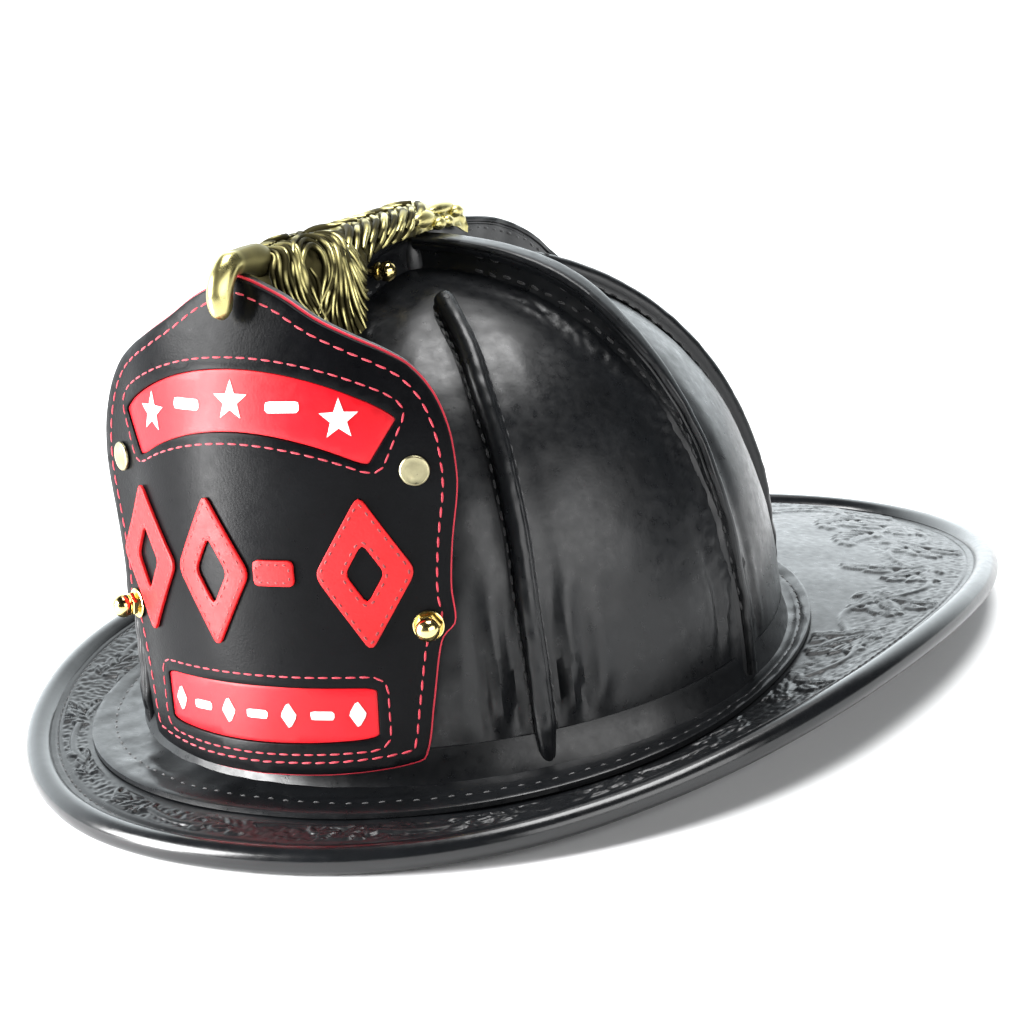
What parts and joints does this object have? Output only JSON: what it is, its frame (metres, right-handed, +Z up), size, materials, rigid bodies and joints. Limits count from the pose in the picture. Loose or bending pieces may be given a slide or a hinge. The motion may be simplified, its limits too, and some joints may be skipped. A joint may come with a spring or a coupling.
{
  "type": "firefighter helmet",
  "caption": "Traditional leather firefighter helmet with a combed crown, long rear brim, front shield, cast finial, suspension, ratchet headband and chin strap.",
  "frame": {"origin": "on the floor, under the middle of the helmet's box", "axes": "+Z up, +Y towards the long rear brim, +X towards the wearer's left; the front shield faces -Y"},
  "size_m": [0.303, 0.4144, 0.1808],
  "materials": {
    "black_leather": "glossy painted leather",
    "shield_leather": "smooth polished leather",
    "red_leather": "satin dyed leather",
    "antique_brass": "antiqued, dark in the hollows",
    "bright_brass": "polished",
    "steel": "plated",
    "black_plastic": "moulded",
    "impact_plastic": "moulded",
    "foam": "closed-cell foam",
    "webbing": "woven",
    "pad_leather": "soft matte leather",
    "flap_cloth": "quilted cloth"
  },
  "bodies": {
    "shell": {"crown_shell": "black_leather", "brim": "black_leather", "brim_edge_roll": "black_leather", "brim_wire": "steel", "shell_welt": "black_leather", "comb_front": "black_leather", "comb_left": "black_leather", "comb_rear": "black_leather", "comb_right": "black_leather", "rib_front_left": "black_leather", "rib_front_right": "black_leather", "rib_rear_left": "black_leather", "rib_rear_right": "black_leather", "comb_saddle": "black_leather", "front_shield": "shield_leather", "shield_upper_panel": "red_leather", "shield_lower_panel": "red_leather", "emblem_outer_right": "red_leather", "emblem_inner_right": "red_leather", "emblem_bar": "red_leather", "emblem_left": "red_leather", "shield_rivet_left": "antique_brass", "shield_rivet_right": "antique_brass", "shield_nut_left": "bright_brass", "shield_nut_right": "bright_brass", "shield_washer_left": "bright_brass", "shield_washer_right": "bright_brass", "shield_stud_left": "steel", "shield_stud_right": "steel", "shield_stay_left": "steel", "shield_stay_right": "steel", "eagle_finial": "antique_brass", "finial_screw": "bright_brass", "finial_nut": "bright_brass", "impact_shell": "impact_plastic", "foam_liner": "foam", "suspension_ring": "black_plastic", "crown_strap_right_front": "webbing", "crown_strap_crosswise": "webbing", "crown_strap_left_front": "webbing", "crown_pad": "flap_cloth", "headband_front": "black_plastic", "brow_pad": "pad_leather", "strap_stud_left": "steel", "strap_stud_right": "steel", "hanger_bracket": "steel"},
    "nape_band": {"headband_rear": "black_plastic", "nape_pad": "pad_leather", "ratchet_housing": "black_plastic"},
    "rack_left": {"rack_left": "black_plastic"},
    "rack_right": {"rack_right": "black_plastic"},
    "ratchet_knob": {"ratchet_knob": "black_plastic", "ratchet_pinion": "black_plastic"},
    "ear_flap": {"ear_neck_flap": "flap_cloth"},
    "chin_strap": {"chin_strap_left": "webbing", "chin_strap_right": "webbing", "buckle_female": "black_plastic"},
    "buckle_male": {"buckle_male": "black_plastic"},
    "postman_slide": {"postman_slide": "steel"},
    "hanger_ring": {"hanger_ring": "steel"}
  },
  "joints": [
    {"name": "nape_slide", "type": "slide", "parent": "shell", "child": "nape_band", "axis": [0, -1, 0], "range_m": [0, 0.022]},
    {"name": "knob_turn", "type": "hinge", "parent": "nape_band", "child": "ratchet_knob", "pos_m": [0, 0.03815, 0.0475], "axis": [0, -1, 0], "range_deg": [0, 210]},
    {"name": "rack_left_feed", "type": "hinge", "parent": "nape_band", "child": "rack_left", "pos_m": [0, -0.04785, 0.0475], "axis": [0, 0, 1], "range_deg": [0, 15.7]},
    {"name": "rack_right_feed", "type": "hinge", "parent": "nape_band", "child": "rack_right", "pos_m": [0, -0.04785, 0.0475], "axis": [0, 0, -1], "range_deg": [0, 15.7]},
    {"name": "flap_drop", "type": "slide", "parent": "shell", "child": "ear_flap", "axis": [0, 0, -1], "range_m": [0, 0.058]},
    {"name": "strap_swing", "type": "hinge", "parent": "shell", "child": "chin_strap", "pos_m": [0, -0.02985, 0.024], "axis": [1, 0, 0], "range_deg": [0, 90]},
    {"name": "buckle_release", "type": "slide", "parent": "chin_strap", "child": "buckle_male", "axis": [0, -0.9844, -0.1758], "range_m": [0, 0.012]},
    {"name": "slide_adjust", "type": "slide", "parent": "chin_strap", "child": "postman_slide", "axis": [0, 0.9844, 0.1758], "range_m": [-0.015, 0.02]},
    {"name": "ring_swing", "type": "hinge", "parent": "shell", "child": "hanger_ring", "pos_m": [0, 0.081, 0.0214], "axis": [1, 0, 0], "range_deg": [-75, 75]}
  ],
  "couplings": [
    {"joint": "knob_turn", "follows": "nape_slide", "rad_per_m": 166.5},
    {"joint": "rack_left_feed", "follows": "nape_slide", "rad_per_m": 12.425},
    {"joint": "rack_right_feed", "follows": "nape_slide", "rad_per_m": 12.425}
  ]
}
